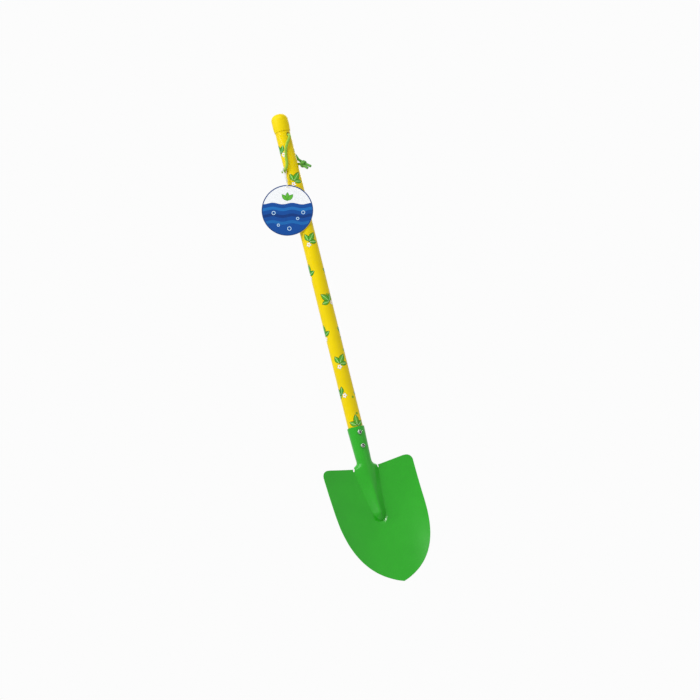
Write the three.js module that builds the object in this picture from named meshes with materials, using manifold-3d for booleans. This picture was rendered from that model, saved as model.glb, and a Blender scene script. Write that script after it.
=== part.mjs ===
// A child's round-point spade: pressed steel blade with a rolled socket, wooden handle in printed film,
// plastic end cap, a cord to hang it by, and a round card tag on a string.
// Millimetres and degrees. Heights are measured upwards from the socket's rim, drops downwards from it.

import * as THREE from 'three';
import { mergeVertices } from 'three/addons/utils/BufferGeometryUtils.js';
import Module from 'manifold-3d';

const wasm = await Module();
wasm.setup();
const { clamp, degToRad, lerp, smoothstep } = THREE.MathUtils;

// Fits shared by all pieces
const fitGap = 0.3;

// Handle
const handleDiameter = 22;
const handleHeight = 475;
const filmThickness = 0.3;
const filmInSocket = 6;
const gripHeight = 150;

// End cap
const capLength = 27;
const capWall = 1.05;
const capEdgeRadius = 9;
const capRimWall = 0.4;
const capRimTaperLength = 6;

// Socket, rolled to a cone with a seam at the back
const sheetThickness = 1.2;
const socketRimClearance = 0.6;
const socketTaper = 1.9;
const socketTubeLength = 44;
const socketLength = 59;
const seamAngle = 16;

// Blade, seen from the front
const bladeWidth = 138.3;
const bladeLength = 174.4;
const lowerWidth = 135.8;
const straightSide = 66.7;
const shoulderSlope = 7.8;
const cornerRadius = 9.2;
const sideHandle = 58.4;
const tipSlope = 17.5;
const tipHandle = 45.8;

// Blade, seen from the side: the middle line starts behind the handle's axis and curls forward
const valleySetback = 0.9;
const bladeLift = 5.2;
const tipCurl = 31.9;
const dishDepth = 13;

// Ridge pressed out of the blade in line with the socket: a roof with a rounded crest and a rounded nose
const ridgeWidth = 38.5;
const ridgeLength = 82;
const ridgeNoseWidth = 16;
const ridgeNoseHeight = 7;
const ridgeNoseLength = 13;
const neckRounding = 0.9;
const crestRounding = 0.09;
const noseGrooveWidth = 3.4;
const noseGrooveDepth = 1.4;

// Slits that let the shoulders fold away from the socket
const slitWidth = 2;
const slitLength = 5.5;
const slitLean = 12;

// Screws through the socket's front wall
const screwDrops = { upper: 9, lower: 29 };
const screwHeadDiameter = 6.2;
const screwHeadHeight = 2.2;
const screwShankDiameter = 3.5;
const screwLength = 14;
const screwPointLength = 3;

// Hanging cord through a cross hole under the cap. Azimuth 0 faces the front, and grows to the right.
const cordDiameter = 4;
const cordHoleDiameter = 6.4;
const cordHoleBelowCap = 6.6;
const cordHoleAzimuth = 25;

// The cord's route as azimuth, distance of its centre from the handle's surface, and drop below the hole.
// The tag's string hangs on it close to its lowest point.
const hookPlace = [-62.5, 4.4, 51.8];
const frontStrandRoute = [
  [25, -7, 0],
  [25, -3.5, 0],
  [23.2, -0.3, 0.5],
  [19.4, 2.6, 1.8],
  [14.7, 4.7, 3.9],
  [9.3, 5.9, 6.4],
  [3.5, 6.1, 9.1],
  [-4, 5.5, 12.2],
  [-11.5, 4.7, 15.5],
  [-19, 3.8, 19.4],
  [-26, 3, 23.8],
  [-31.5, 2.5, 28.8],
  [-35, 2.5, 34.3],
  [-36.5, 2.9, 39.5],
  [-39.5, 3.5, 44.4],
  [-45, 4, 47.9],
  [-53, 4.3, 50.4],
  hookPlace,
  [-73.5, 4.1, 52.4],
  [-87, 3.4, 52.2],
  [-103, 2.8, 51.4],
  [-122, 2.5, 50.1],
  [-143, 2.4, 48.5],
  [-165, 2.4, 46.9],
  [-187, 2.4, 45.4],
  [-208, 2.4, 44.2],
  [-228, 2.4, 43.6],
  [-244, 2.4, 43.4],
  [-259, 2.4, 43.7],
  [-268, 2.7, 44.2],
];
const rearStrandRoute = [
  [205, -7, 0],
  [205, -3.5, 0],
  [203, -0.3, 0.4],
  [198.7, 2.6, 1.7],
  [193.7, 4.7, 3.5],
  [187.8, 6, 5.9],
  [181, 6.2, 8.3],
  [171.5, 5.6, 11.2],
  [160.5, 4.8, 14.1],
  [149, 4, 17.2],
  [137.5, 3.2, 20.6],
  [126, 2.7, 24.2],
  [115.5, 2.6, 28.2],
  [106.5, 3, 32.4],
  [100, 3.8, 36.8],
];

// Knot in the cord, with its two tails
const knotAzimuth = 75;
const knotStandoff = 7.6;
const knotDrop = 46.6;
const knotWrapRadius = 3.6;
const knotEntryLength = 2.4;
const tailLength = 13;
const tailSplay = 1.2;
const tailDirection = new THREE.Vector3(0.36, -0.69, -0.64).normalize();

// Card tag, its plane turned to the left and lying in front of the handle
const tagDiameter = 75;
const tagThickness = 0.8;
const tagAzimuth = -17;
const tagHoleDiameter = 4;
const tagHoleInset = 4.2;
const tagHoleBelowHook = 26.4;
const tagHoleLeftOfHook = 1.8;
const tagTurn = 13.9;

// String of the tag, looped over the cord close to its lowest point
const stringDiameter = 1.5;
const stringBendRadius = 3;
const stringSpread = 1.6;
const stringAside = 0.9;
const stringKnotBelow = 15;
const stringKnotDiameter = 3.6;

// How finely round and curved faces are cut
const roundFacets = 32;
const cordFacets = 8;
const spineColumns = 20;
const footColumns = 2;
const wingColumns = 9;
const socketRows = { tube: 5, flare: 9 };
const bladeRows = { upper: 15, nose: 13, lower: 14 };

// Derived sizes
const handleRadius = handleDiameter / 2;
const woodRadius = handleRadius - filmThickness - fitGap;
const cordRadius = cordDiameter / 2;
const stringRadius = stringDiameter / 2;
const stringLoopRadius = cordRadius + 2 * fitGap + stringRadius;
const capInside = handleRadius + fitGap;
const capOutside = capInside + capWall;
const capFlatRadius = capOutside - capEdgeRadius;
const capRimHeight = handleHeight - capLength;
const capShoulderHeight = handleHeight - capEdgeRadius;
const cordHoleHeight = capRimHeight - cordHoleBelowCap;
const halfBlade = bladeWidth / 2;
const halfLower = lowerWidth / 2;
const tipDrop = socketLength + bladeLength;
const seamEnd = degToRad(180 - seamAngle / 2);

const powderCoat = new THREE.MeshStandardMaterial({ color: 0x35a52f, roughness: 0.35, metalness: 0 });
const bareWood = new THREE.MeshStandardMaterial({ color: 0xd2b183, roughness: 0.7, metalness: 0 });
const yellowFilm = new THREE.MeshStandardMaterial({ color: 0xf2d60c, roughness: 0.3, metalness: 0 });
const yellowPlastic = new THREE.MeshStandardMaterial({ color: 0xf7dd10, roughness: 0.4, metalness: 0 });
const zincSteel = new THREE.MeshStandardMaterial({ color: 0xa8b0a6, roughness: 0.35, metalness: 1 });
const greenCord = new THREE.MeshStandardMaterial({ color: 0x4fae35, roughness: 0.85, metalness: 0 });
const whiteString = new THREE.MeshStandardMaterial({ color: 0xf1f1ee, roughness: 0.9, metalness: 0 });
const printedCard = new THREE.MeshStandardMaterial({ color: 0x1f6fb8, roughness: 0.5, metalness: 0 });

// Solids and booleans

function solid(geometry) {
  const bare = geometry.clone();
  bare.deleteAttribute('normal');
  bare.deleteAttribute('uv');
  const merged = mergeVertices(bare, 1e-4);
  return new wasm.Manifold(new wasm.Mesh({
    numProp: 3,
    vertProperties: Float32Array.from(merged.attributes.position.array),
    triVerts: Uint32Array.from(merged.index.array),
  }));
}

function geometryOf(manifold) {
  const mesh = manifold.getMesh();
  const geometry = new THREE.BufferGeometry();
  geometry.setAttribute('position', new THREE.BufferAttribute(mesh.vertProperties, 3));
  geometry.setIndex(new THREE.BufferAttribute(mesh.triVerts, 1));
  return geometry;
}

function named(name, geometry, material) {
  const mesh = new THREE.Mesh(geometry, material);
  mesh.name = name;
  return mesh;
}

// A profile of (radius, height) turned about the vertical axis
function turned(profile, facets = roundFacets) {
  return new THREE.LatheGeometry(profile, facets).rotateX(Math.PI / 2);
}

// A round bar between two points
function bar(from, to, radius, facets = 16) {
  const along = new THREE.Vector3().subVectors(to, from);
  const geometry = new THREE.CylinderGeometry(radius, radius, along.length(), facets);
  const up = new THREE.Vector3(0, 1, 0);
  geometry.applyQuaternion(new THREE.Quaternion().setFromUnitVectors(up, along.clone().normalize()));
  return geometry.translate(...new THREE.Vector3().lerpVectors(from, to, 0.5).toArray());
}

// A round cord along a smooth curve through the given points
function cordAlong(points, radius, steps) {
  const section = new THREE.Shape().absarc(0, 0, radius, 0, 2 * Math.PI);
  const extrudePath = new THREE.CatmullRomCurve3(points);
  return new THREE.ExtrudeGeometry(section, { extrudePath, steps, curveSegments: cordFacets / 2 });
}

// A point at an azimuth round the handle
function around(azimuth, radius, height) {
  const angle = degToRad(azimuth);
  return new THREE.Vector3(radius * Math.sin(angle), -radius * Math.cos(angle), height);
}

// Blade: one sheet, drawn as its middle surface and then given its thickness

function socketRadius(drop) {
  const rimRadius = handleRadius + socketRimClearance + sheetThickness / 2;
  return rimRadius - drop * Math.tan(degToRad(socketTaper));
}

function valleyDepth(drop) {
  const below = drop - socketLength;
  const curl = below > 0 ? tipCurl * (below / bladeLength) ** 2 : 0;
  return below * Math.tan(degToRad(bladeLift)) + curl - valleySetback;
}

// Half the ridge's width: it narrows from the shoulders to its nose
function ridgeRoot(drop) {
  const along = clamp((drop - socketLength) / ridgeLength, 0, 1);
  return lerp(ridgeWidth, ridgeNoseWidth, along) / 2;
}

// The ridge runs on from the socket's curve, turns into a roof, and ends in a nose with a groove at its foot
function ridgeDepth(x, drop) {
  const along = clamp((drop - socketLength) / ridgeLength, 0, 1);
  const noseStart = socketLength + ridgeLength - ridgeNoseLength;
  const away = Math.hypot(x / ridgeRoot(drop), Math.max(0, drop - noseStart) / ridgeNoseLength);
  const crest = lerp(socketRadius(socketLength) + valleySetback, ridgeNoseHeight, along);
  const rounding = lerp(neckRounding, crestRounding, smoothstep(along, 0, 0.4));
  const roof = (Math.hypot(away, rounding) - rounding) / (Math.hypot(1, rounding) - rounding);
  const outside = clamp((away - 1) * ridgeNoseWidth / 2 / noseGrooveWidth, 0, 1);
  const groove = noseGrooveDepth * smoothstep(along, 0.75, 1) * smoothstep(away, 0.75, 1) * (1 - outside);
  return crest * Math.max(0, 1 - roof) - groove;
}

function bladePoint(x, drop) {
  const dish = dishDepth * (x / halfBlade) ** 2;
  return new THREE.Vector3(x, -(valleyDepth(drop) + dish + ridgeDepth(x, drop)), -drop);
}

// Upper edge: level across the ridge, rising to the rounded corners
function shoulderDrop(x) {
  const slope = degToRad(shoulderSlope);
  const cornerCentre = halfBlade - cornerRadius;
  const line = (at) => socketLength - Math.max(0, at - ridgeWidth / 2) * Math.tan(slope);
  if (x < cornerCentre - cornerRadius * Math.sin(slope)) {
    return line(x);
  }
  const centreDrop = line(cornerCentre) + cornerRadius / Math.cos(slope);
  return centreDrop - Math.sqrt(Math.max(0, cornerRadius ** 2 - (x - cornerCentre) ** 2));
}

// Lower edge: a curve from the end of the straight side to the blunt tip, as (x, drop)
function lowerEdge() {
  const sideTop = new THREE.Vector2(halfBlade, shoulderDrop(halfBlade));
  const sideEnd = new THREE.Vector2(halfLower, socketLength + straightSide);
  const sideRun = sideEnd.clone().sub(sideTop).setLength(sideHandle);
  const slope = degToRad(tipSlope);
  const tip = new THREE.Vector2(0, tipDrop);
  const tipRun = new THREE.Vector2(Math.cos(slope), -Math.sin(slope)).multiplyScalar(tipHandle);
  return new THREE.CubicBezierCurve(sideEnd, sideEnd.clone().add(sideRun), tip.clone().add(tipRun), tip);
}

// The drop of the lower edge at a distance from the middle
function lowerDrop(edge, x) {
  let near = 0;
  let far = 1;
  for (let halving = 0; halving < 40; halving++) {
    const middle = (near + far) / 2;
    if (edge.getPoint(middle).x > x) {
      near = middle;
    } else {
      far = middle;
    }
  }
  return edge.getPoint(near).y;
}

// A column's distance from the middle: even over the ridge, close at its foot, then closer towards the side
function columnOffset(column, drop, share) {
  const half = spineColumns / 2;
  const step = Math.abs(column);
  const root = ridgeRoot(drop);
  if (step <= half) {
    return root * step / half;
  }
  const foot = root + Math.min(1, (step - half) / footColumns) * noseGrooveWidth;
  const side = lerp(halfBlade, halfLower, share);
  const outward = Math.max(0, step - half - footColumns) / wingColumns;
  return lerp(foot, side, Math.sin(Math.PI / 2 * outward));
}

// Shares of the way down the blade, closer together over the ridge's nose
function rowShares() {
  const noseStart = (ridgeLength - ridgeNoseLength) / bladeLength;
  const grooveLength = noseGrooveWidth * ridgeNoseLength / (ridgeNoseWidth / 2);
  const noseEnd = (ridgeLength + grooveLength) / bladeLength;
  const shares = [];
  const spread = (from, to, count) => {
    for (let row = 0; row < count; row++) {
      shares.push(lerp(from, to, row / count));
    }
  };
  spread(0, noseStart, bladeRows.upper);
  spread(noseStart, noseEnd, bladeRows.nose);
  spread(noseEnd, 1, bladeRows.lower);
  return [...shares, 1];
}

// A socket row: a ring open at the back, which opens out into the ridge's section near the shoulders
function socketRow(drop) {
  const half = spineColumns / 2;
  const flare = Math.max(0, drop - socketTubeLength) / (socketLength - socketTubeLength);
  const opening = flare ** 2 * (2 - flare);
  const radius = socketRadius(drop);
  const row = [];
  for (let column = -half; column <= half; column++) {
    const angle = seamEnd * column / half;
    const ring = new THREE.Vector3(radius * Math.sin(angle), -radius * Math.cos(angle), -drop);
    const open = bladePoint(ridgeWidth / 2 * column / half, socketLength).setZ(-drop);
    row.push(ring.lerp(open, opening));
  }
  return { first: -half, points: row };
}

// A blade row, at a share of the way from the upper edge to the lower edge
function bladeRow(share, edge) {
  const last = spineColumns / 2 + footColumns + wingColumns;
  const row = [];
  for (let column = -last; column <= last; column++) {
    const top = shoulderDrop(columnOffset(column, socketLength, 0));
    const foot = lowerDrop(edge, columnOffset(column, tipDrop, 1));
    const drop = lerp(top, foot, share);
    row.push(bladePoint(Math.sign(column) * columnOffset(column, drop, share), drop));
  }
  return { first: -last, points: row };
}

// Rows of points joined into one surface, wherever two neighbouring rows share their columns
function surfaceOf(rows) {
  const points = rows.flatMap((row) => row.points);
  const index = [];
  let start = 0;
  for (let i = 0; i + 1 < rows.length; i++) {
    const [upper, lower] = [rows[i], rows[i + 1]];
    const next = start + upper.points.length;
    const from = Math.max(upper.first, lower.first);
    for (let column = from; column < -from; column++) {
      const a = start + column - upper.first;
      const d = next + column - lower.first;
      index.push(a, d, d + 1, a, d + 1, a + 1);
    }
    start = next;
  }
  const surface = new THREE.BufferGeometry().setFromPoints(points);
  surface.setIndex(index);
  surface.computeVertexNormals();
  return surface;
}

// A surface given a thickness, half to each side, and closed round its edge
function thickened(surface, thickness) {
  const place = surface.attributes.position;
  const normal = surface.attributes.normal;
  const count = place.count;
  const points = [];
  for (const side of [0.5, -0.5]) {
    for (let i = 0; i < count; i++) {
      const out = new THREE.Vector3().fromBufferAttribute(normal, i).multiplyScalar(side * thickness);
      points.push(new THREE.Vector3().fromBufferAttribute(place, i).add(out));
    }
  }
  const faces = surface.index.array;
  const index = [...faces];
  const open = new Map();
  for (let i = 0; i < faces.length; i += 3) {
    const [a, b, c] = faces.slice(i, i + 3);
    index.push(count + a, count + c, count + b);
    for (const [from, to] of [[a, b], [b, c], [c, a]]) {
      if (!open.delete(`${to} ${from}`)) {
        open.set(`${from} ${to}`, [from, to]);
      }
    }
  }
  for (const [from, to] of open.values()) {
    index.push(to, from, count + from, to, count + from, count + to);
  }
  const shell = new THREE.BufferGeometry().setFromPoints(points);
  shell.setIndex(index);
  return shell;
}

// A slot with round ends that cuts the sheet beside the socket, on the left (-1) or the right (1)
function reliefSlit(side) {
  const radius = slitWidth / 2;
  const slot = new THREE.Shape();
  slot.absarc(0, slitLength / 2, radius, 0, Math.PI);
  slot.absarc(0, -slitLength / 2, radius, Math.PI, 2 * Math.PI);
  const reach = handleDiameter;
  const cutter = new THREE.ExtrudeGeometry(slot, { depth: 2 * reach, bevelEnabled: false, curveSegments: 6 });
  cutter.translate(0, 0, -reach).rotateX(Math.PI / 2);
  cutter.rotateY(-side * degToRad(slitLean));
  return cutter.translate(side * (ridgeWidth - slitWidth) / 2, 0, -socketLength);
}

function blade() {
  const edge = lowerEdge();
  const rows = [];
  for (let row = 0; row < socketRows.tube; row++) {
    rows.push(socketRow(socketTubeLength * row / socketRows.tube));
  }
  for (let row = 0; row < socketRows.flare; row++) {
    rows.push(socketRow(lerp(socketTubeLength, socketLength, row / socketRows.flare)));
  }
  for (const share of rowShares()) {
    rows.push(bladeRow(share, edge));
  }
  let sheet = solid(thickened(surfaceOf(rows), sheetThickness));
  for (const side of [-1, 1]) {
    sheet = sheet.subtract(solid(reliefSlit(side)));
  }
  for (const drop of Object.values(screwDrops)) {
    const front = new THREE.Vector3(0, -2 * handleDiameter, -drop);
    sheet = sheet.subtract(solid(bar(front, front.clone().setY(0), screwShankDiameter / 2 + fitGap)));
  }
  return named('blade', geometryOf(sheet), powderCoat);
}

// Handle

// The bore that the cord passes through, right across the handle
function cordBore() {
  const out = around(cordHoleAzimuth, handleDiameter, cordHoleHeight);
  const back = around(cordHoleAzimuth + 180, handleDiameter, cordHoleHeight);
  return solid(bar(out, back, cordHoleDiameter / 2));
}

// Room inside the socket at a drop, measured to the flats of its ring
function roomInSocket(drop) {
  const flats = Math.cos(seamEnd / spineColumns);
  return (socketRadius(drop) - sheetThickness / 2) * flats - fitGap;
}

function handleShaft() {
  const chamfer = 1;
  const filmEnd = -filmInSocket - fitGap;
  const stickEnd = -socketTubeLength;
  const topRounding = woodRadius - capFlatRadius;
  const profile = new THREE.Path();
  profile.moveTo(0, stickEnd);
  profile.lineTo(roomInSocket(-stickEnd) - chamfer, stickEnd);
  profile.lineTo(roomInSocket(-stickEnd - chamfer), stickEnd + chamfer);
  profile.lineTo(Math.min(woodRadius, roomInSocket(-filmEnd)), filmEnd);
  profile.lineTo(woodRadius, -filmInSocket / 2);
  profile.lineTo(woodRadius, capShoulderHeight);
  profile.absarc(capFlatRadius, capShoulderHeight, topRounding, 0, Math.PI / 2);
  profile.lineTo(0, capShoulderHeight + topRounding);
  let stick = solid(turned(profile.getPoints(3))).subtract(cordBore());
  for (const drop of Object.values(screwDrops)) {
    const point = new THREE.Vector3(0, screwSeat(drop) + screwLength + fitGap, -drop);
    const pilot = bar(point.clone().setY(-handleDiameter), point, screwShankDiameter / 2 + fitGap);
    stick = stick.subtract(solid(pilot));
  }
  return named('handle_shaft', geometryOf(stick), bareWood);
}

function handleFilm() {
  const inside = handleRadius - filmThickness;
  const profile = [
    new THREE.Vector2(inside, -filmInSocket),
    new THREE.Vector2(handleRadius, -filmInSocket),
    new THREE.Vector2(handleRadius, capShoulderHeight),
    new THREE.Vector2(inside, capShoulderHeight),
    new THREE.Vector2(inside, -filmInSocket),
  ];
  return named('handle_film', geometryOf(solid(turned(profile)).subtract(cordBore())), yellowFilm);
}

// A domed cap of even wall over the stick's rounded end
function endCap() {
  const profile = new THREE.Path();
  profile.moveTo(0, handleHeight - capWall);
  profile.lineTo(capFlatRadius, handleHeight - capWall);
  profile.absarc(capFlatRadius, capShoulderHeight, capEdgeRadius - capWall, Math.PI / 2, 0, true);
  profile.lineTo(capInside, capRimHeight);
  profile.lineTo(capInside + capRimWall, capRimHeight);
  profile.lineTo(capOutside, capRimHeight + capRimTaperLength);
  profile.lineTo(capOutside, capShoulderHeight);
  profile.absarc(capFlatRadius, capShoulderHeight, capEdgeRadius, 0, Math.PI / 2);
  profile.lineTo(0, handleHeight);
  return named('end_cap', turned(profile.getPoints(4)), yellowPlastic);
}

// Where a screw's head sits, in front of the socket
function screwSeat(drop) {
  return -(socketRadius(drop) + sheetThickness / 2 + fitGap);
}

function socketScrew(place) {
  const head = screwHeadDiameter / 2;
  const shank = screwShankDiameter / 2;
  const rim = screwHeadHeight / 3;
  const profile = new THREE.Path();
  profile.moveTo(0, -screwLength);
  profile.lineTo(shank, screwPointLength - screwLength);
  profile.lineTo(shank, 0);
  profile.lineTo(head, 0);
  profile.lineTo(head, rim);
  profile.quadraticCurveTo(head * 0.8, screwHeadHeight, 0, screwHeadHeight);
  const screw = named(`socket_screw_${place}`, new THREE.LatheGeometry(profile.getPoints(5), 16), zincSteel);
  screw.rotation.x = Math.PI;
  screw.position.set(0, screwSeat(screwDrops[place]), -screwDrops[place]);
  return screw;
}

// Hanging cord

function cordPoint([azimuth, standoff, drop]) {
  return around(azimuth, handleRadius + standoff, cordHoleHeight - drop);
}

// A point in the knot, along the way the tails leave it, on the left (-1) or the right (1) of the pair
function knotPoint(along, side) {
  const beside = new THREE.Vector3(0, 1, 0).cross(tailDirection).normalize();
  const point = around(knotAzimuth, handleRadius + knotStandoff, cordHoleHeight - knotDrop);
  point.addScaledVector(tailDirection, along);
  return point.addScaledVector(beside, side * (cordRadius + fitGap / 2));
}

// A strand starts in the middle of the handle, where it meets the other one, and ends against the knot
function cordStrand(name, route, side) {
  const start = around(route[0][0], fitGap / 2, cordHoleHeight);
  const entry = -knotEntryLength - fitGap;
  const points = [start, ...route.map(cordPoint)];
  points.push(knotPoint(entry - cordRadius, side), knotPoint(entry, side));
  return named(name, cordAlong(points, cordRadius, points.length), greenCord);
}

// One turn of the cord round both ends, which come out side by side
function cordKnot() {
  const wrap = new THREE.TorusGeometry(knotWrapRadius, cordRadius, cordFacets, 18);
  const axis = new THREE.Vector3(0, 0, 1);
  wrap.applyQuaternion(new THREE.Quaternion().setFromUnitVectors(axis, tailDirection));
  let knot = solid(wrap.translate(...knotPoint(0, 0).toArray()));
  for (const side of [-1, 1]) {
    const entry = knotPoint(-knotEntryLength, side);
    const cutEnd = knotPoint(tailLength, side * tailSplay);
    knot = knot.add(solid(bar(entry, cutEnd, cordRadius, cordFacets)));
  }
  return named('cord_knot', geometryOf(knot), greenCord);
}

// Tag and its string

// Directions in the tag's plane, and the place where its string hangs on the cord
const tagLeft = around(tagAzimuth - 90, 1, 0);
const tagFront = around(tagAzimuth, 1, 0);
const hook = cordPoint(hookPlace);

// A point in the tag's plane, from its place to the left of the hook and below it, and before the plane
function onTag(left, below, before) {
  const plane = handleRadius + 2 * fitGap + tagThickness / 2;
  const point = tagFront.clone().multiplyScalar(plane + before);
  point.addScaledVector(tagLeft, hook.dot(tagLeft) + left);
  return point.setZ(hook.z - below);
}

function swingTag() {
  const card = new THREE.Shape().absarc(0, 0, tagDiameter / 2, 0, 2 * Math.PI);
  const holeHeight = tagDiameter / 2 - tagHoleInset;
  card.holes.push(new THREE.Path().absarc(0, holeHeight, tagHoleDiameter / 2, 0, 2 * Math.PI, true));
  const geometry = new THREE.ExtrudeGeometry(card, {
    depth: tagThickness, bevelEnabled: false, curveSegments: roundFacets,
  });
  geometry.translate(0, -holeHeight, -tagThickness / 2);
  geometry.rotateZ(-degToRad(tagTurn)).rotateX(Math.PI / 2);
  const tag = named('swing_tag', geometry, printedCard);
  tag.rotation.z = degToRad(tagAzimuth);
  tag.position.copy(onTag(tagHoleLeftOfHook, tagHoleBelowHook, 0));
  return tag;
}

// From its knot up behind the cord, over it, down in front, through the tag's hole and back up to the knot
function tagString() {
  const [azimuth, standoff, drop] = hookPlace;
  const bend = stringBendRadius;
  const foot = tagHoleBelowHook - tagHoleDiameter / 2 + stringRadius + fitGap;
  const before = (below, depth, aside) => {
    const left = tagHoleLeftOfHook * below / tagHoleBelowHook;
    return onTag(left + aside, below, depth);
  };
  const overCord = (turn) => {
    const angle = degToRad(turn);
    const out = stringLoopRadius * Math.sin(angle);
    return cordPoint([azimuth, standoff + out, drop - stringLoopRadius * Math.cos(angle)]);
  };
  const throughHole = (turn) => {
    const angle = degToRad(turn);
    return before(foot - bend + bend * Math.sin(angle), bend * Math.cos(angle), 0);
  };
  const points = [
    before(stringKnotBelow - 1, -stringSpread, -stringAside / 2),
    before(stringKnotBelow / 2, -stringSpread, -stringAside),
    ...[-125, -75, -25, 25, 75, 125].map(overCord),
    before(stringKnotBelow / 2, stringSpread, stringAside),
    before(stringKnotBelow, stringSpread, stringAside / 2),
    ...[0, 45, 90, 135, 180].map(throughHole),
    before(stringKnotBelow + 1, -stringSpread, -stringAside / 2),
  ];
  const loop = solid(cordAlong(points, stringRadius, 36));
  const knot = new THREE.SphereGeometry(stringKnotDiameter / 2, 10, 8);
  knot.translate(...before(stringKnotBelow, -stringSpread, -stringAside / 2).toArray());
  return named('tag_string', geometryOf(loop.add(solid(knot))), whiteString);
}

const spade = new THREE.Group();
spade.add(
  blade(),
  handleShaft(),
  handleFilm(),
  endCap(),
  socketScrew('upper'),
  socketScrew('lower'),
  cordStrand('cord_front_strand', frontStrandRoute, 1),
  cordStrand('cord_rear_strand', rearStrandRoute, -1),
  cordKnot(),
  tagString(),
  swingTag(),
);

// The origin is where a hand grips the handle
spade.position.z = -gripHeight;

export default spade;
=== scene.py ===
"""Dresses the childrens spade: cords, knots, screws, materials, camera, light. Metres, +Z up the handle."""

import math

import bmesh
import bpy
from mathutils import Matrix, Vector

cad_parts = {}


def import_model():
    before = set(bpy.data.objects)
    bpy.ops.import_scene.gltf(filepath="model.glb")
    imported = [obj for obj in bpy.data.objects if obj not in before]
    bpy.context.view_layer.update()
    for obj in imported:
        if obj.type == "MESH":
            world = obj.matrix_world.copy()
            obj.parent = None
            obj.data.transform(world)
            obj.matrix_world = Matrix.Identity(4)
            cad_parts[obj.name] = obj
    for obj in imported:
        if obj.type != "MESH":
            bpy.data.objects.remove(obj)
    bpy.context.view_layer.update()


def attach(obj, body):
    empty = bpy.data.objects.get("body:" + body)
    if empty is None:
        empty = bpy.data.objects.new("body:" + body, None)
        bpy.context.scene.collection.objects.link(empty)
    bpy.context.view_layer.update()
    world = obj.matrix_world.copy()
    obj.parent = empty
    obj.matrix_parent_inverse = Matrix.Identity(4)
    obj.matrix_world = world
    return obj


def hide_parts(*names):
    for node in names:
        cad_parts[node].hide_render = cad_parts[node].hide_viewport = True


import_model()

MM = 0.001

# Main sizes, in millimetres, as in the part
HANDLE_RADIUS = 11.0
GRIP_HEIGHT = 150.0
CORD_HOLE_HEIGHT = 441.4
CORD_RADIUS = 2.0
FIT_GAP = 0.3

# The cord's route: azimuth, distance of its centre from the handle's surface, drop below the hole
HOOK = (-62.5, 4.4, 51.8)
FRONT_ROUTE = [
    (25, -7, 0),
    (25, -3.5, 0),
    (23.2, -0.3, 0.5),
    (19.4, 2.6, 1.8),
    (14.7, 4.7, 3.9),
    (9.3, 5.9, 6.4),
    (3.5, 6.1, 9.1),
    (-4, 5.5, 12.2),
    (-11.5, 4.7, 15.5),
    (-19, 3.8, 19.4),
    (-26, 3, 23.8),
    (-31.5, 2.5, 28.8),
    (-35, 2.5, 34.3),
    (-36.5, 2.9, 39.5),
    (-39.5, 3.5, 44.4),
    (-45, 4, 47.9),
    (-53, 4.3, 50.4),
    HOOK,
    (-73.5, 4.1, 52.4),
    (-87, 3.4, 52.2),
    (-103, 2.8, 51.4),
    (-122, 2.5, 50.1),
    (-143, 2.4, 48.5),
    (-165, 2.4, 46.9),
    (-187, 2.4, 45.4),
    (-208, 2.4, 44.2),
    (-228, 2.4, 43.6),
    (-244, 2.4, 43.4),
    (-259, 2.4, 43.7),
    (-268, 2.7, 44.2),
]
REAR_ROUTE = [
    (205, -7, 0),
    (205, -3.5, 0),
    (203, -0.3, 0.4),
    (198.7, 2.6, 1.7),
    (193.7, 4.7, 3.5),
    (187.8, 6, 5.9),
    (181, 6.2, 8.3),
    (171.5, 5.6, 11.2),
    (160.5, 4.8, 14.1),
    (149, 4, 17.2),
    (137.5, 3.2, 20.6),
    (126, 2.7, 24.2),
    (115.5, 2.6, 28.2),
    (106.5, 3, 32.4),
    (100, 3.8, 36.8),
]

# The cord is braided: strands each way round, length of one turn, share of the radius that the relief takes
BRAID = (8, 7.0, 0.05)
CORD_SIDES = 32
CORD_STEP = 0.4

# Knot of the cord
KNOT = (75, 7.6, 46.6)
KNOT_ENTRY = 2.4
KNOT_WRAP_RADIUS = 3.6
KNOT_WRAP_LENGTH = 2.6
KNOT_WRAP_START = -0.4
KNOT_WRAP_TURNS = 1.25
KNOT_WRAP_STEPS = 24
TAIL_LENGTH = 13.0
TAIL_STEP = 1.4
TAIL_PINCH = 0.92
TAIL_MIDDLE_SPLAY = 1.05
TAIL_SPLAY = 1.2
TAIL_DIRECTION = Vector((0.36, -0.69, -0.64)).normalized()

# Tag and its string
TAG_AZIMUTH = -17.0
TAG_RADIUS = 37.5
TAG_THICKNESS = 0.8
TAG_HOLE_LEFT = 1.8
TAG_HOLE_BELOW = 26.4
TAG_HOLE_RADIUS = 2.0
TAG_HOLE_INSET = 4.2
TAG_TURN = 13.9
STRING_RADIUS = 0.75
STRING_LOOP_RADIUS = CORD_RADIUS + 2 * FIT_GAP + STRING_RADIUS
STRING_BEND_RADIUS = 3.0
STRING_SPREAD = 1.6
STRING_ASIDE = 0.9
STRING_KNOT_BELOW = 15.0
STRING_KNOT_TURNS = 3
STRING_KNOT_RADIUS = 1.05
STRING_KNOT_LENGTH = 2.8
STRING_KNOT_SQUEEZE = 0.9
STRING_KNOT_STEPS = 48
STRING_KNOT_SIDES = 14
STRING_KNOT_STEP = 0.2
STRING_END_REACH = 1.0

# The string is twisted: plies, length of one turn, share of the radius that the relief takes
TWIST = (3, 2.2, 0.12)
STRING_SIDES = 18
STRING_STEP = 0.25

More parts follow.
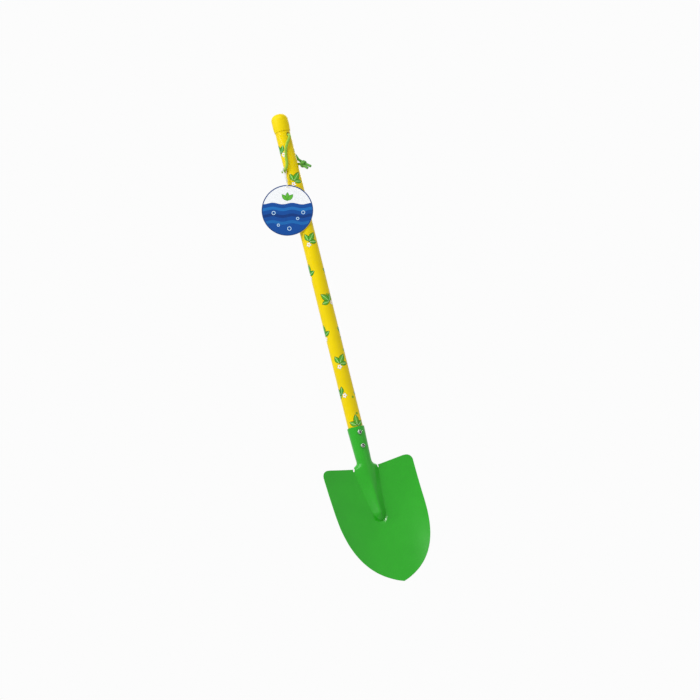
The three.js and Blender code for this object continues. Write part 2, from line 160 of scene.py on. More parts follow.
# Screws in the socket: drop below the rim, height of the seat before the handle's axis, turn of the recess
SCREW_SEATS = {"upper": (9.0, 12.802, 35.0), "lower": (29.0, 12.138, 60.0)}
SCREW_HEAD_RADIUS = 3.1
SCREW_HEAD_HEIGHT = 2.2
SCREW_SHANK_RADIUS = 1.75
SCREW_LENGTH = 14.0
SCREW_POINT_LENGTH = 3.0
HEAD_RIM_SHARE = 0.38
RECESS_HALF_WIDTH = 0.8
RECESS_REACH = 2.3
RECESS_DEPTH = 2.3
RECESS_WALL = 0.2
RECESS_END_WALL = 0.3

# The film's print repeats along the handle. A sprig has leaves of these leans, lengths and widths.
PRINT_REPEAT = 92.0
PRINT_START = 50.0
MOTIF_TURN = 0.9
SPRIG_DROP = 7.0
SPRIG_LEAVES = ((1.0, 13.0, 7.4), (-1.0, 13.0, 7.4), (0.0, 17.0, 8.6))
RIB_WIDTH = 0.22
DAISY_PETALS = 5.0
DAISY_REACH = (2.6, 4.2)
DAISY_MIDDLE = 1.1
DAISY_ASIDE = 2.0
DAISY_DROP = 11.0
DOT_RADIUS = 1.9
DOT_TURN = 3.0
DOT_ASIDE = 6.0

# The tag's print: a pale field over waves, bands of waves by height, rings by place and radius
TAG_FIELD_EDGE = 10.0
TAG_WAVE_RATE = 0.22
TAG_WAVE_HEIGHT = 1.2
TAG_BAND_WIDTH = 4.4
TAG_BANDS = ((2.0, "1a6cb6"), (-8.0, "06367a"), (-18.0, "1865ad"))
TAG_RINGS = ((-20, -4, 2.4), (-13, -22, 1.7), (3, -27, 2.6), (15, -12, 1.8), (23, -3, 2.3))
TAG_RING_HALF_WIDTH = 0.45
TAG_LEAF_LEANS = (-0.7, 0.0, 0.7)
TAG_LEAF_FOOT = 14.0
TAG_LEAF_LENGTH = 13.0
TAG_LEAF_WIDTH = 6.0
TAG_RIM = 1.6

# View of the photograph
VIEW_AZIMUTH = -19.0
VIEW_ELEVATION = -8.0
VIEW_DISTANCE = 4.0
VIEW_ROLL = 13.9
VIEW_LENS = 142.15
VIEW_TARGET = Vector((0, 0, (110.1 - GRIP_HEIGHT) * MM))
VIEW_TARGET_PIXEL = (337.4, 354.15)
PICTURE = 700

# Light that the surround casts on the spade
SURROUND_LIGHT = (0.41, 0.415, 0.42, 1.0)

# Rounding of the pressed sheet, and the angles past which shaded edges stay sharp
ROUNDING_LEVELS = 2
CREASE_ANGLE = 50
CREASE_FIRMNESS = 0.8
SHARP_ANGLE = 32
SMALL_PIECE_SHARP_ANGLE = 40

# Fine steps between two points of a smooth line
CURVE_STEPS = 24


# Places


def around(azimuth, radius, height):
    """A point round the handle. Azimuth 0 faces the front, and height counts from the socket's rim."""
    angle = math.radians(azimuth)
    point = Vector((radius * math.sin(angle), -radius * math.cos(angle), height - GRIP_HEIGHT))
    return point * MM


def cord_point(azimuth, standoff, drop):
    return around(azimuth, HANDLE_RADIUS + standoff, CORD_HOLE_HEIGHT - drop)


def knot_point(along, side):
    beside = Vector((0, 1, 0)).cross(TAIL_DIRECTION).normalized()
    point = cord_point(*KNOT) + TAIL_DIRECTION * along * MM
    return point + beside * side * (CORD_RADIUS + FIT_GAP / 2) * MM


TAG_FRONT = around(TAG_AZIMUTH, 1 / MM, GRIP_HEIGHT)
TAG_LEFT = around(TAG_AZIMUTH - 90, 1 / MM, GRIP_HEIGHT)
TAG_PLANE = HANDLE_RADIUS + 2 * FIT_GAP + TAG_THICKNESS / 2


def on_tag(left, below, before):
    """A point by the tag's plane, from its place to the left of the hook, below it and before the plane."""
    hook = cord_point(*HOOK)
    point = TAG_FRONT * (TAG_PLANE + before) * MM
    point += TAG_LEFT * (hook.dot(TAG_LEFT) + left * MM)
    point.z = hook.z - below * MM
    return point


def smooth_line(points, step):
    """A centripetal curve through the points, cut into short equal steps."""
    padded = [2 * points[0] - points[1]] + points + [2 * points[-1] - points[-2]]
    fine = []
    for a, b, c, d in zip(padded, padded[1:], padded[2:], padded[3:]):
        t1 = (b - a).length ** 0.5
        t2 = t1 + (c - b).length ** 0.5
        t3 = t2 + (d - c).length ** 0.5
        for i in range(CURVE_STEPS):
            t = t1 + (t2 - t1) * i / CURVE_STEPS
            ab = a.lerp(b, t / t1)
            bc = b.lerp(c, (t - t1) / (t2 - t1))
            cd = c.lerp(d, (t - t2) / (t3 - t2))
            abc = ab.lerp(bc, t / t2)
            bcd = bc.lerp(cd, (t - t1) / (t3 - t1))
            fine.append(abc.lerp(bcd, (t - t1) / (t2 - t1)))
    fine.append(points[-1].copy())
    return even_steps(fine, step)


def even_steps(fine, step):
    count = max(2, round(line_length(fine) / step))
    gap = line_length(fine) / count
    even = [fine[0].copy()]
    walked = 0.0
    for a, b in zip(fine, fine[1:]):
        span = (b - a).length
        while len(even) <= count and gap * len(even) <= walked + span + 1e-12:
            even.append(a.lerp(b, (gap * len(even) - walked) / span))
        walked += span
    even[-1] = fine[-1].copy()
    return even


def line_length(points):
    return sum((b - a).length for a, b in zip(points, points[1:]))


# Meshes


def mesh_piece(name, verts, faces, body, material):
    mesh = bpy.data.meshes.new(name)
    mesh.from_pydata([tuple(v) for v in verts], [], faces)
    mesh.validate()
    made = bmesh.new()
    made.from_mesh(mesh)
    bmesh.ops.recalc_face_normals(made, faces=made.faces)
    made.to_mesh(mesh)
    made.free()
    piece = bpy.data.objects.new(name, mesh)
    bpy.context.scene.collection.objects.link(piece)
    mesh.materials.append(material)
    smooth(piece, SMALL_PIECE_SHARP_ANGLE)
    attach(piece, body)
    return piece


def smooth(piece, angle):
    """Shades a piece smooth, but for edges sharper than the angle."""
    for face in piece.data.polygons:
        face.use_smooth = True
    piece.data.set_sharp_from_angle(angle=math.radians(angle))


def mesh_nodes(name):
    """A group of nodes for a mesh, with the mesh it is given and the angle at each edge."""
    group = bpy.data.node_groups.new(name, "GeometryNodeTree")
    group.interface.new_socket("Geometry", in_out="INPUT", socket_type="NodeSocketGeometry")
    group.interface.new_socket("Geometry", in_out="OUTPUT", socket_type="NodeSocketGeometry")
    given = group.nodes.new("NodeGroupInput").outputs[0]
    angle = group.nodes.new("GeometryNodeInputMeshEdgeAngle").outputs["Unsigned Angle"]
    return group, given, angle


def smooth_by_angle(limit):
    """Nodes that shade a mesh smooth, but for edges sharper than the limit."""
    group, given, angle = mesh_nodes("smooth_by_angle")
    flat = maths(group, "LESS_THAN", angle, math.radians(limit))
    faces = group.nodes.new("GeometryNodeSetShadeSmooth")
    join(group, given, faces.inputs["Geometry"])
    edges = group.nodes.new("GeometryNodeSetShadeSmooth")
    edges.domain = "EDGE"
    join(group, faces.outputs[0], edges.inputs["Geometry"])
    join(group, flat, edges.inputs["Shade Smooth"])
    join(group, edges.outputs[0], group.nodes.new("NodeGroupOutput").inputs[0])
    return group


def crease_by_angle(limit, firmness):
    """Nodes that keep edges sharper than the limit firm when the mesh is rounded."""
    group, given, angle = mesh_nodes("crease_by_angle")
    sharp = maths(group, "GREATER_THAN", angle, math.radians(limit))
    kept = group.nodes.new("GeometryNodeStoreNamedAttribute")
    kept.data_type = "FLOAT"
    kept.domain = "EDGE"
    kept.inputs["Name"].default_value = "crease_edge"
    join(group, given, kept.inputs["Geometry"])
    join(group, maths(group, "MULTIPLY", sharp, firmness), kept.inputs["Value"])
    join(group, kept.outputs[0], group.nodes.new("NodeGroupOutput").inputs[0])
    return group


def join_facets(piece):
    piece.modifiers.new("join_facets", "WELD").merge_threshold = 1e-6


def round_sheet(piece, creases):
    """Rounds a sheet's facets towards the curved faces they stand for, and keeps its cut edges firm."""
    piece.modifiers.new("crease", "NODES").node_group = creases
    curve = piece.modifiers.new("curve", "SUBSURF")
    curve.levels = ROUNDING_LEVELS
    curve.render_levels = ROUNDING_LEVELS


def tube_mesh(line, radius_at, sides):
    """Rings along a line, closed at both ends; radius_at takes the way along and the turn round it."""
    verts = []
    faces = []
    tangent = (line[1] - line[0]).normalized()
    across = tangent.orthogonal().normalized()
    walked = 0.0
    for i, point in enumerate(line):
        before = line[max(0, i - 1)]
        after = line[min(len(line) - 1, i + 1)]
        turned = (after - before).normalized()
        across = tangent.rotation_difference(turned) @ across
        across = (across - turned * across.dot(turned)).normalized()
        tangent = turned
        other = tangent.cross(across)
        walked += (point - before).length
        for side in range(sides):
            turn = 2 * math.pi * side / sides
            out = across * math.cos(turn) + other * math.sin(turn)
            verts.append(point + out * radius_at(walked, turn))
    for i in range(len(line) - 1):
        for side in range(sides):
            a = i * sides + side
            b = i * sides + (side + 1) % sides
            faces.append((a, b, b + sides, a + sides))
    faces.append(tuple(range(sides)))
    faces.append(tuple(range(len(verts) - 1, len(verts) - 1 - sides, -1)))
    return verts, faces


def braid(radius, strands, pitch, depth):
    """Two families of strands that cross each other round a cord. Sizes in millimetres."""

    def radius_at(walked, turn):
        lean = 2 * math.pi * walked / (pitch * MM)
        over = math.cos(strands * turn + lean) * math.cos(strands * turn - lean)
        return radius * MM * (1 - depth + depth * over)

    return radius_at


def twist(radius, plies, pitch, depth):
    """Plies laid round each other in one direction. Sizes in millimetres."""

    def radius_at(walked, turn):
        lobe = abs(math.cos(plies / 2 * (turn - 2 * math.pi * walked / (pitch * MM))))
        return radius * MM * (1 - depth + depth * lobe)

    return radius_at


# Materials


def add(tree, kind, *inputs, **settings):
    """Adds a node; inputs are values or other nodes' outputs. Gives its first output."""
    made = tree.nodes.new(kind)
    for key, value in settings.items():
        setattr(made, key, value)
    for socket, value in zip(made.inputs, inputs):
        join(tree, value, socket)
    return made.outputs[0]


def join(tree, value, socket):
    if isinstance(value, bpy.types.NodeSocket):
        tree.links.new(value, socket)
    elif value is not None:
        socket.default_value = value


def maths(tree, operation, *inputs):
    return add(tree, "ShaderNodeMath", *inputs, operation=operation)


def mix(tree, factor, first, second):
    made = tree.nodes.new("ShaderNodeMix")
    made.data_type = "RGBA"
    join(tree, factor, made.inputs[0])
    join(tree, first, made.inputs[6])
    join(tree, second, made.inputs[7])
    return made.outputs[2]


def noise(tree, place, scale, detail=2.0):
    made = tree.nodes.new("ShaderNodeTexNoise")
    join(tree, place, made.inputs["Vector"])
    made.inputs["Scale"].default_value = scale
    made.inputs["Detail"].default_value = detail
    return made.outputs[0]


def ramp(tree, value, low, high, to_low=0.0, to_high=1.0):
    made = tree.nodes.new("ShaderNodeMapRange")
    for socket, given in zip(made.inputs, (value, low, high, to_low, to_high)):
        join(tree, given, socket)
    return made.outputs[0]


def colour(code):
    """A colour as linear values, from its code as seen on a screen."""
    parts = [int(code[i : i + 2], 16) / 255 for i in (0, 2, 4)]
    linear = [p / 12.92 if p <= 0.04045 else ((p + 0.055) / 1.055) ** 2.4 for p in parts]
    return (*linear, 1.0)


def new_material(name, **values):
    """A material with its main shader, the place on the object, and values set on the shader's sockets."""
    made = bpy.data.materials.new(name)
    made.use_nodes = True
    tree = made.node_tree
    shader = tree.nodes["Principled BSDF"]
    for key, value in values.items():
        shader.inputs[key.replace("_", " ")].default_value = value
    place = tree.nodes.new("ShaderNodeTexCoord").outputs["Object"]
    return made, tree, shader, place


def bump(tree, shader, height, distance, strength=1.0):
    made = tree.nodes.new("ShaderNodeBump")
    made.inputs["Strength"].default_value = strength
    made.inputs["Distance"].default_value = distance
    join(tree, height, made.inputs["Height"])
    join(tree, made.outputs[0], shader.inputs["Normal"])


def powder_coat():
    """Green paint with a fine orange peel, slightly uneven in colour and gloss."""
    made, tree, shader, place = new_material("green_powder_coat", Specular_IOR_Level=0.34)
    patches = noise(tree, place, 22, 4)
    tone = mix(tree, ramp(tree, patches, 0.3, 0.7), colour("22a518"), colour("28ad1d"))
    specks = ramp(tree, noise(tree, place, 900, 2), 0.66, 0.74)
    tone = mix(tree, maths(tree, "MULTIPLY", specks, 0.25), tone, colour("58c84a"))
    join(tree, tone, shader.inputs["Base Color"])
    join(tree, ramp(tree, patches, 0.3, 0.7, 0.21, 0.26), shader.inputs["Roughness"])
    bump(tree, shader, noise(tree, place, 1400, 2), 0.00004, 0.5)
    return made


def wood():
    made, tree, shader, place = new_material("bare_wood", Roughness=0.7)
    drawn = add(tree, "ShaderNodeVectorMath", place, (1.0, 1.0, 0.06), operation="MULTIPLY")
    grain = noise(tree, drawn, 700, 5)
    join(tree, mix(tree, grain, colour("c39a63"), colour("e2c79a")), shader.inputs["Base Color"])
    bump(tree, shader, grain, 0.0001, 0.4)
    return made


def scattered(tree, u, v, across, along, shift, turn):
    """Repeats a small field round the handle and along it; each copy is turned by its own random angle."""
    cells = []
    local = []
    for value, size, moved in ((u, across, shift), (v, along, shift)):
        scaled = maths(tree, "ADD", maths(tree, "DIVIDE", value, size), moved)
        cells.append(maths(tree, "FLOOR", scaled))
        centred = maths(tree, "SUBTRACT", maths(tree, "FRACT", scaled), 0.5)
        local.append(maths(tree, "MULTIPLY", centred, size))
    column = maths(tree, "FLOORED_MODULO", cells[0], 2)
    cell = add(tree, "ShaderNodeCombineXYZ", column, cells[1], shift)
    chance = add(tree, "ShaderNodeTexWhiteNoise", cell)
    angle = ramp(tree, chance, 0, 1, -turn, turn)
    return turned(tree, local[0], local[1], angle)


def turned(tree, x, y, angle):
    cosine = maths(tree, "COSINE", angle)
    sine = maths(tree, "SINE", angle)
    across = maths(tree, "SUBTRACT", maths(tree, "MULTIPLY", x, cosine), maths(tree, "MULTIPLY", y, sine))
    along = maths(tree, "ADD", maths(tree, "MULTIPLY", x, sine), maths(tree, "MULTIPLY", y, cosine))
    return across, along


def leaf(tree, x, y, angle, length, width):
    """How far inside a pointed leaf a point lies, and its distance from the leaf's rib."""
    across, along = turned(tree, x, y, angle)
    share = maths(tree, "MULTIPLY", ramp(tree, along, 0, length), math.pi)
    half = maths(tree, "MULTIPLY", maths(tree, "SINE", share), width / 2)
    rib = maths(tree, "ABSOLUTE", across)
    return maths(tree, "SUBTRACT", half, rib), rib


def length_of(tree, x, y):
    square = maths(tree, "ADD", maths(tree, "POWER", x, 2.0), maths(tree, "POWER", y, 2.0))
    return maths(tree, "SQRT", square)


def inside(tree, value, edge, soft=0.06):
    return ramp(tree, value, edge - soft, edge + soft)


def sprigs(tree, tone, u, v, shift, fill):
    """Sprigs of three leaves, dark outlined, each with a pale rib."""
    x, y = scattered(tree, u, v, math.pi * HANDLE_RADIUS, PRINT_REPEAT, shift, MOTIF_TURN)
    y = maths(tree, "ADD", y, SPRIG_DROP)
    for angle, length, width in SPRIG_LEAVES:
        depth, rib = leaf(tree, x, y, angle, length, width)
        tone = mix(tree, inside(tree, depth, 0.05), tone, colour("17400f"))
        tone = mix(tree, inside(tree, depth, 0.7), tone, fill)
        vein = maths(tree, "MULTIPLY", inside(tree, depth, 1.1), maths(tree, "LESS_THAN", rib, RIB_WIDTH))
        tone = mix(tree, vein, tone, colour("d7efb2"))
    return tone


def daisies(tree, tone, u, v, shift):
    """Small white flowers with five petals, dark outlined, with an orange middle."""
    x, y = scattered(tree, u, v, math.pi * HANDLE_RADIUS, PRINT_REPEAT, shift, MOTIF_TURN)
    x = maths(tree, "SUBTRACT", x, DAISY_ASIDE)
    y = maths(tree, "ADD", y, DAISY_DROP)
    distance = length_of(tree, x, y)
    angle = maths(tree, "ARCTAN2", x, y)
    petals = maths(tree, "COSINE", maths(tree, "MULTIPLY", angle, DAISY_PETALS))
    reach = ramp(tree, petals, -1, 1, *DAISY_REACH)
    depth = maths(tree, "SUBTRACT", reach, distance)
    tone = mix(tree, inside(tree, depth, 0.05), tone, colour("235a17"))
    tone = mix(tree, inside(tree, depth, 0.5), tone, colour("fbfbf4"))
    middle = inside(tree, maths(tree, "SUBTRACT", DAISY_MIDDLE, distance), 0)
    return mix(tree, middle, tone, colour("f0a51e"))


def dots(tree, tone, u, v):
    """Pale green dots strewn between the motifs."""
    x, y = scattered(tree, u, v, math.pi * HANDLE_RADIUS, PRINT_REPEAT / 3, 0.25, DOT_TURN)
    x = maths(tree, "SUBTRACT", x, DOT_ASIDE)
    distance = length_of(tree, x, y)
    spot = inside(tree, maths(tree, "SUBTRACT", DOT_RADIUS, distance), 0)
    return mix(tree, spot, tone, colour("86ad1e"))


def printed_film():
    """Glossy yellow film with a leaf and flower print, wrapped round the stick."""
    made, tree, shader, place = new_material("yellow_film", Specular_IOR_Level=0.14)
    x, y, z = add_split(tree, place)
    angle = maths(tree, "ARCTAN2", x, maths(tree, "MULTIPLY", y, -1.0))
    u = maths(tree, "MULTIPLY", angle, HANDLE_RADIUS)
    v = maths(tree, "ADD", maths(tree, "MULTIPLY", z, 1 / MM), PRINT_START)
    drift = ramp(tree, noise(tree, place, 30, 3), 0.3, 0.7)
    tone = mix(tree, drift, colour("e8cc00"), colour("efd300"))
    tone = dots(tree, tone, u, v)
    tone = daisies(tree, tone, u, v, 0.0)
    tone = daisies(tree, tone, u, v, 0.5)
    tone = sprigs(tree, tone, u, v, 0.0, colour("3f9f28"))
    tone = sprigs(tree, tone, u, v, 0.5, colour("5cae2c"))
    join(tree, tone, shader.inputs["Base Color"])
    join(tree, ramp(tree, drift, 0, 1, 0.14, 0.2), shader.inputs["Roughness"])
    drawn = add(tree, "ShaderNodeVectorMath", place, (1.0, 1.0, 0.1), operation="MULTIPLY")
    bump(tree, shader, noise(tree, drawn, 260, 3), 0.00008, 0.35)
    return made


def add_split(tree, place):
    made = tree.nodes.new("ShaderNodeSeparateXYZ")
    join(tree, place, made.inputs[0])
    return made.outputs[0], made.outputs[1], made.outputs[2]


def cap_plastic():
    """Moulded yellow plastic, satin, with a faint grain and fine draw lines."""
    made, tree, shader, place = new_material("yellow_plastic", Specular_IOR_Level=0.14)
    cloud = noise(tree, place, 60, 3)
    join(tree, mix(tree, cloud, colour("e9ce00"), colour("f0d600")), shader.inputs["Base Color"])
    join(tree, ramp(tree, cloud, 0.3, 0.7, 0.36, 0.46), shader.inputs["Roughness"])
    drawn = add(tree, "ShaderNodeVectorMath", place, (1.0, 1.0, 0.05), operation="MULTIPLY")
    grain = maths(tree, "ADD", noise(tree, place, 2500, 1), noise(tree, drawn, 1500, 2))
    bump(tree, shader, grain, 0.00003, 0.5)
    return made


def zinc():
    """Zinc-plated steel, cloudy, a little scuffed, with painted shade darkening its hollows."""
    made, tree, shader, place = new_material("zinc_steel", Metallic=1.0)
    cloud = noise(tree, place, 700, 4)
    tone = mix(tree, cloud, colour("98a198"), colour("d2d8d1"))
    # Painted shade: ambient occlusion darkens the cross recess and the foot of the head nearly to black.
    hollow_shade = tree.nodes.new("ShaderNodeAmbientOcclusion")
    hollow_shade.inputs["Distance"].default_value = 2 * MM
    unshaded_share = ramp(tree, hollow_shade.outputs["AO"], 0.35, 0.8)
    join(tree, mix(tree, unshaded_share, colour("182018"), tone), shader.inputs["Base Color"])
    join(tree, ramp(tree, cloud, 0.3, 0.7, 0.1, 0.2), shader.inputs["Roughness"])
    bump(tree, shader, noise(tree, place, 3000, 3), 0.00003, 0.4)
    return made


def yarn(name, dark, light, scale):
    """Yarn with loose fibres: mottled colour, no gloss, a soft sheen."""
    made, tree, shader, place = new_material(name, Roughness=0.85, Sheen_Weight=0.35, Sheen_Roughness=0.5)
    strands = noise(tree, place, scale, 4)
    join(tree, mix(tree, ramp(tree, strands, 0.3, 0.7), dark, light), shader.inputs["Base Color"])
    bump(tree, shader, noise(tree, place, scale * 2.5, 3), 0.0001, 0.6)
    return made


def card():
    """Laminated card: a pale upper field over waves of blue, a dark blue rim, and a white back."""
    made, tree, shader, place = new_material("printed_card", Specular_IOR_Level=0.2)
    hole = on_tag(TAG_HOLE_LEFT, TAG_HOLE_BELOW, 0)
    turn = math.radians(TAG_TURN)
    reach = (TAG_RADIUS - TAG_HOLE_INSET) * MM
    right = -TAG_LEFT * math.cos(turn) - Vector((0, 0, 1)) * math.sin(turn)
    up = -TAG_LEFT * math.sin(turn) + Vector((0, 0, 1)) * math.cos(turn)
    middle = hole - up * reach

    def along(axis):
        moved = maths(tree, "SUBTRACT", dot(tree, place, axis), middle.dot(axis))
        return maths(tree, "MULTIPLY", moved, 1 / MM)

    a = along(right)
    b = along(up)
    front = along(TAG_FRONT)
    distance = length_of(tree, a, b)
    wave = maths(tree, "SINE", maths(tree, "MULTIPLY", a, TAG_WAVE_RATE))
    swell = maths(tree, "MULTIPLY", wave, TAG_WAVE_HEIGHT)
    level = maths(tree, "SUBTRACT", b, swell)
    tone = mix(tree, inside(tree, level, TAG_FIELD_EDGE, 0.1), colour("0b4a98"), colour("f2f4f6"))
    for height, shade in TAG_BANDS:
        away = maths(tree, "ABSOLUTE", maths(tree, "SUBTRACT", level, height))
        band = maths(tree, "SUBTRACT", TAG_BAND_WIDTH / 2, away)
        tone = mix(tree, inside(tree, band, 0, 0.1), tone, colour(shade))
    for angle in TAG_LEAF_LEANS:
        y = maths(tree, "SUBTRACT", b, TAG_LEAF_FOOT)
        depth, _ = leaf(tree, a, y, angle, TAG_LEAF_LENGTH, TAG_LEAF_WIDTH)
        tone = mix(tree, inside(tree, depth, 0.0), tone, colour("2c7f1f"))
        tone = mix(tree, inside(tree, depth, 0.6), tone, colour("5fb436"))
    for across, height, size in TAG_RINGS:
        x = maths(tree, "SUBTRACT", a, across)
        y = maths(tree, "SUBTRACT", b, height)
        away = maths(tree, "ABSOLUTE", maths(tree, "SUBTRACT", length_of(tree, x, y), size))
        ring = inside(tree, maths(tree, "SUBTRACT", TAG_RING_HALF_WIDTH, away), 0)
        tone = mix(tree, ring, tone, colour("bfe0f2"))
    rim = inside(tree, distance, TAG_RADIUS - TAG_RIM, 0.1)
    tone = mix(tree, rim, tone, colour("17427f"))
    fibres = noise(tree, place, 1200, 3)
    back = mix(tree, fibres, colour("e9e8e2"), colour("f7f6f1"))
    tone = mix(tree, maths(tree, "LESS_THAN", front, 0.0), tone, back)
    join(tree, tone, shader.inputs["Base Color"])
    join(tree, ramp(tree, fibres, 0.3, 0.7, 0.38, 0.5), shader.inputs["Roughness"])
    bump(tree, shader, fibres, 0.00003, 0.3)
    return made


def dot(tree, place, axis):
    made = tree.nodes.new("ShaderNodeVectorMath")
    made.operation = "DOT_PRODUCT"
    join(tree, place, made.inputs[0])
    made.inputs[1].default_value = axis
    return made.outputs["Value"]


# Camera


def make_camera():
    azimuth = math.radians(VIEW_AZIMUTH)
    elevation = math.radians(VIEW_ELEVATION)
    roll = math.radians(VIEW_ROLL)
    level_out = Vector((math.sin(azimuth), -math.cos(azimuth), 0))
    out = level_out * math.cos(elevation) + Vector((0, 0, 1)) * math.sin(elevation)
    level_right = Vector((0, 0, 1)).cross(out).normalized()
    level_up = out.cross(level_right)
    right = level_right * math.cos(roll) - level_up * math.sin(roll)
    up = level_right * math.sin(roll) + level_up * math.cos(roll)
    data = bpy.data.cameras.new("camera")
    data.lens = VIEW_LENS
    data.shift_x = (PICTURE / 2 - VIEW_TARGET_PIXEL[0]) / PICTURE
    data.shift_y = (VIEW_TARGET_PIXEL[1] - PICTURE / 2) / PICTURE
    camera = bpy.data.objects.new("camera", data)
    turn = Matrix((right, up, out)).transposed().to_4x4()
    camera.matrix_world = Matrix.Translation(VIEW_TARGET + out * VIEW_DISTANCE) @ turn
    bpy.context.scene.collection.objects.link(camera)
    bpy.context.scene.camera = camera
    return right, up, out


# Cords


def make_cord(name, route, side, cord_material):
    """One strand of the hanging cord, from the middle of the handle to the knot."""
    points = [around(route[0][0], FIT_GAP / 2, CORD_HOLE_HEIGHT)]
    points += [cord_point(*place) for place in route]
    entry = -KNOT_ENTRY - FIT_GAP
    points += [knot_point(entry - CORD_RADIUS, side), knot_point(entry, side)]
    line = smooth_line(points, CORD_STEP * MM)
    verts, faces = tube_mesh(line, braid(CORD_RADIUS, *BRAID), CORD_SIDES)
    piece = mesh_piece(name, verts, faces, "spade", cord_material)
    return piece, line


def make_knot(cord_material):
    """An overhand knot: one end turns round both and both come out side by side."""
    verts = []
    faces = []
    beside = Vector((0, 1, 0)).cross(TAIL_DIRECTION).normalized()
    other = TAIL_DIRECTION.cross(beside)
    wrap = []
    for i in range(KNOT_WRAP_STEPS + 1):
        share = i / KNOT_WRAP_STEPS
        turn = 2 * math.pi * (share * KNOT_WRAP_TURNS + KNOT_WRAP_START)
        along = KNOT_WRAP_LENGTH * (share - 0.5)
        out = beside * math.cos(turn) + other * math.sin(turn)
        wrap.append(knot_point(along, 0) + out * KNOT_WRAP_RADIUS * MM)
    lines = [smooth_line(wrap, CORD_STEP * MM)]
    for side, tail in ((-1, TAIL_LENGTH), (1, TAIL_LENGTH - TAIL_STEP)):
        ends = [
            knot_point(-KNOT_ENTRY, side),
            knot_point(0, side * TAIL_PINCH),
            knot_point(TAIL_LENGTH / 2, side * TAIL_MIDDLE_SPLAY),
            knot_point(tail, side * TAIL_SPLAY),
        ]
        lines.append(smooth_line(ends, CORD_STEP * MM))
    for line in lines:
        made, sides = tube_mesh(line, braid(CORD_RADIUS, *BRAID), CORD_SIDES)
        faces += [tuple(i + len(verts) for i in face) for face in sides]
        verts += made
    return mesh_piece("tied_cord_knot", verts, faces, "spade", cord_material)


def make_string(string_material):
    """The tag's string: up behind the cord, over it, down in front, through the tag and back up."""
    azimuth, standoff, drop = HOOK
    foot = TAG_HOLE_BELOW - TAG_HOLE_RADIUS + STRING_RADIUS + FIT_GAP

    def before(below, depth, aside):
        return on_tag(TAG_HOLE_LEFT * below / TAG_HOLE_BELOW + aside, below, depth)

    def over_cord(turn):
        angle = math.radians(turn)
        out = STRING_LOOP_RADIUS * math.sin(angle)
        return cord_point(azimuth, standoff + out, drop - STRING_LOOP_RADIUS * math.cos(angle))

    def through_hole(turn):
        angle = math.radians(turn)
        return before(
            foot - STRING_BEND_RADIUS + STRING_BEND_RADIUS * math.sin(angle),
            STRING_BEND_RADIUS * math.cos(angle),
            0,
        )

    points = [
        before(STRING_KNOT_BELOW - STRING_END_REACH, -STRING_SPREAD, -STRING_ASIDE / 2),
        before(STRING_KNOT_BELOW / 2, -STRING_SPREAD, -STRING_ASIDE),
    ]
    points += [over_cord(turn) for turn in (-125, -75, -25, 25, 75, 125)]
    points += [
        before(STRING_KNOT_BELOW / 2, STRING_SPREAD, STRING_ASIDE),
        before(STRING_KNOT_BELOW, STRING_SPREAD, STRING_ASIDE / 2),
    ]
    points += [through_hole(turn) for turn in (0, 45, 90, 135, 180)]
    points += [before(STRING_KNOT_BELOW + STRING_END_REACH, -STRING_SPREAD, -STRING_ASIDE / 2)]
    line = smooth_line(points, STRING_STEP * MM)
    verts, faces = tube_mesh(line, twist(STRING_RADIUS, *TWIST), STRING_SIDES)
    piece = mesh_piece("twisted_tag_string", verts, faces, "tag_string", string_material)
    return piece, line, before(STRING_KNOT_BELOW, -STRING_SPREAD, -STRING_ASIDE / 2)


def make_string_knot(place, string_material):
    """A small tight knot: a few turns of string round its own ends."""
    turns = []
    for i in range(STRING_KNOT_STEPS + 1):
        share = i / STRING_KNOT_STEPS
        turn = 2 * math.pi * STRING_KNOT_TURNS * share
        out = Vector((math.cos(turn), math.sin(turn), 0)) * STRING_KNOT_RADIUS
        out.z = (share - 0.5) * STRING_KNOT_LENGTH
        turns.append(place + out * MM)
    line = smooth_line(turns, STRING_KNOT_STEP * MM)
    squeezed = twist(STRING_RADIUS * STRING_KNOT_SQUEEZE, *TWIST)
    verts, faces = tube_mesh(line, squeezed, STRING_KNOT_SIDES)
    return mesh_piece("string_knot", verts, faces, "tag_string", string_material)


# Screws


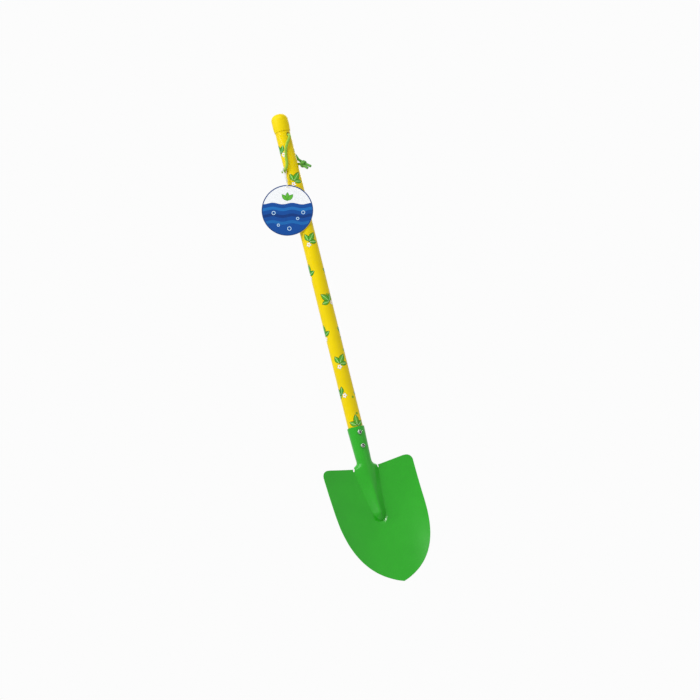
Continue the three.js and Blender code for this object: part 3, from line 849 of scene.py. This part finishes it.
def make_screw(place, metal):
    """A pan-head screw with a cross recess pressed into its head."""
    drop, seat, recess_turn = SCREW_SEATS[place]
    rings = 36
    sides = 112
    verts = []
    faces = []

    def put(across, turn, height):
        at = Vector((across * math.cos(turn), -seat - height, across * math.sin(turn) - drop - GRIP_HEIGHT))
        verts.append(at * MM)

    def head_height(across, turn):
        share = across / SCREW_HEAD_RADIUS
        crown = math.sqrt(max(0.0, 1 - share**3))
        dome = SCREW_HEAD_HEIGHT * (HEAD_RIM_SHARE + (1 - HEAD_RIM_SHARE) * crown)
        angle = turn - math.radians(recess_turn)
        x = abs(across * math.cos(angle))
        z = abs(across * math.sin(angle))
        side_wall = (RECESS_HALF_WIDTH - min(x, z)) / RECESS_WALL
        end_wall = (RECESS_REACH - max(x, z)) / RECESS_END_WALL
        return dome - RECESS_DEPTH * max(0.0, min(1.0, side_wall, end_wall))

    profile = [SCREW_HEAD_RADIUS * math.sin(math.pi / 2 * i / rings) for i in range(1, rings + 1)]
    put(0, 0, head_height(0, 0))
    for across in profile:
        for side in range(sides):
            turn = 2 * math.pi * side / sides
            put(across, turn, head_height(across, turn))
    point = SCREW_POINT_LENGTH - SCREW_LENGTH
    shank = ((SCREW_HEAD_RADIUS, 0.0), (SCREW_SHANK_RADIUS, 0.0), (SCREW_SHANK_RADIUS, point))
    for across, height in shank:
        for side in range(sides):
            put(across, 2 * math.pi * side / sides, height)
    put(0, 0, -SCREW_LENGTH)
    last = len(verts) - 1
    for side in range(sides):
        after = (side + 1) % sides
        faces.append((0, 1 + side, 1 + after))
        for ring in range(rings + len(shank) - 1):
            a = 1 + ring * sides
            faces.append((a + side, a + sides + side, a + sides + after, a + after))
        a = last - sides
        faces.append((a + side, last, a + after))
    piece = mesh_piece(f"cross_head_screw_{place}", verts, faces, "spade", metal)
    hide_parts(f"socket_screw_{place}")


# Stage


def make_stage(right, up, out):
    """A pale floor, a white surround, soft light from the upper left and a small lamp overhead."""
    floor = bpy.data.meshes.new("floor")
    reach = 8.0
    level = -1.2
    corners = [(x * reach, y * reach, level) for x, y in ((-1, -1), (1, -1), (1, 1), (-1, 1))]
    floor.from_pydata(corners, [], [(0, 1, 2, 3)])
    ground = bpy.data.objects.new("floor", floor)
    bpy.context.scene.collection.objects.link(ground)
    made, tree, shader, place = new_material("floor", Roughness=0.9)
    cloud = noise(tree, place, 3, 2)
    join(tree, mix(tree, cloud, colour("efefef"), colour("f6f6f6")), shader.inputs["Base Color"])
    floor.materials.append(made)

    world = bpy.data.worlds.new("studio")
    world.use_nodes = True
    bpy.context.scene.world = world
    tree = world.node_tree
    rays = tree.nodes.new("ShaderNodeLightPath").outputs
    shown = maths(tree, "MAXIMUM", rays["Is Camera Ray"], rays["Is Glossy Ray"])
    shade = mix(tree, shown, SURROUND_LIGHT, colour("fcfcfc"))
    join(tree, shade, tree.nodes["Background"].inputs["Color"])

    # Name, place, width, height and power of each lamp
    lamps = (
        ("key", right * -2.7 + up * 1.5 + out * 1.2, 2.4, 2.4, 70),
        ("top", right * -0.37 + up * 2.34 + out * 1.44, 0.22, 0.8, 23),
        ("fill", right * 2.2 + up * 0.3 + out * 2.0, 2.0, 2.0, 4),
        ("back", right * 0.4 + up * 1.2 - out * 2.2, 1.5, 1.5, 12),
    )
    for name, place, width, height, power in lamps:
        data = bpy.data.lights.new(name, "AREA")
        data.shape = "RECTANGLE"
        data.size = width
        data.size_y = height
        data.energy = power
        lamp = bpy.data.objects.new(name, data)
        lamp.matrix_world = Matrix.Translation(place) @ place.to_track_quat("Z", "Y").to_matrix().to_4x4()
        bpy.context.scene.collection.objects.link(lamp)


bpy.context.scene.view_settings.view_transform = "Standard"
view_right, view_up, view_out = make_camera()

# One yarn in two copies: the front strand in the lit tone, and a darker copy with painted shade for the
# rear strand and the knot.
green_yarn = yarn("green_cord", colour("5f9f1e"), colour("aed036"), 1800)
shaded_cord_yarn = yarn("green_cord_painted_shade", colour("2c8526"), colour("74bd3a"), 1800)
white_yarn = yarn("white_string", colour("dcdcd6"), colour("f7f7f3"), 2600)

front_cord, front_line = make_cord("braided_cord_front", FRONT_ROUTE, 1, green_yarn)
rear_cord, rear_line = make_cord("braided_cord_rear", REAR_ROUTE, -1, shaded_cord_yarn)
knot = make_knot(shaded_cord_yarn)
string, string_line, string_knot_place = make_string(white_yarn)
string_knot = make_string_knot(string_knot_place, white_yarn)
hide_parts("cord_front_strand")
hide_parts("cord_rear_strand")
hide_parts("cord_knot")
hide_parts("tag_string")

steel = zinc()
for screw_place in SCREW_SEATS:
    make_screw(screw_place, steel)

dressed = {
    "blade": powder_coat(),
    "handle_shaft": wood(),
    "handle_film": printed_film(),
    "end_cap": cap_plastic(),
    "swing_tag": card(),
}
smoothing = smooth_by_angle(SHARP_ANGLE)
for node, look in dressed.items():
    piece = bpy.data.objects[node]
    piece.data.materials.clear()
    piece.data.materials.append(look)
    join_facets(piece)
    if node == "blade":
        round_sheet(piece, crease_by_angle(CREASE_ANGLE, CREASE_FIRMNESS))
    piece.modifiers.new("smooth", "NODES").node_group = smoothing

make_stage(view_right, view_up, view_out)
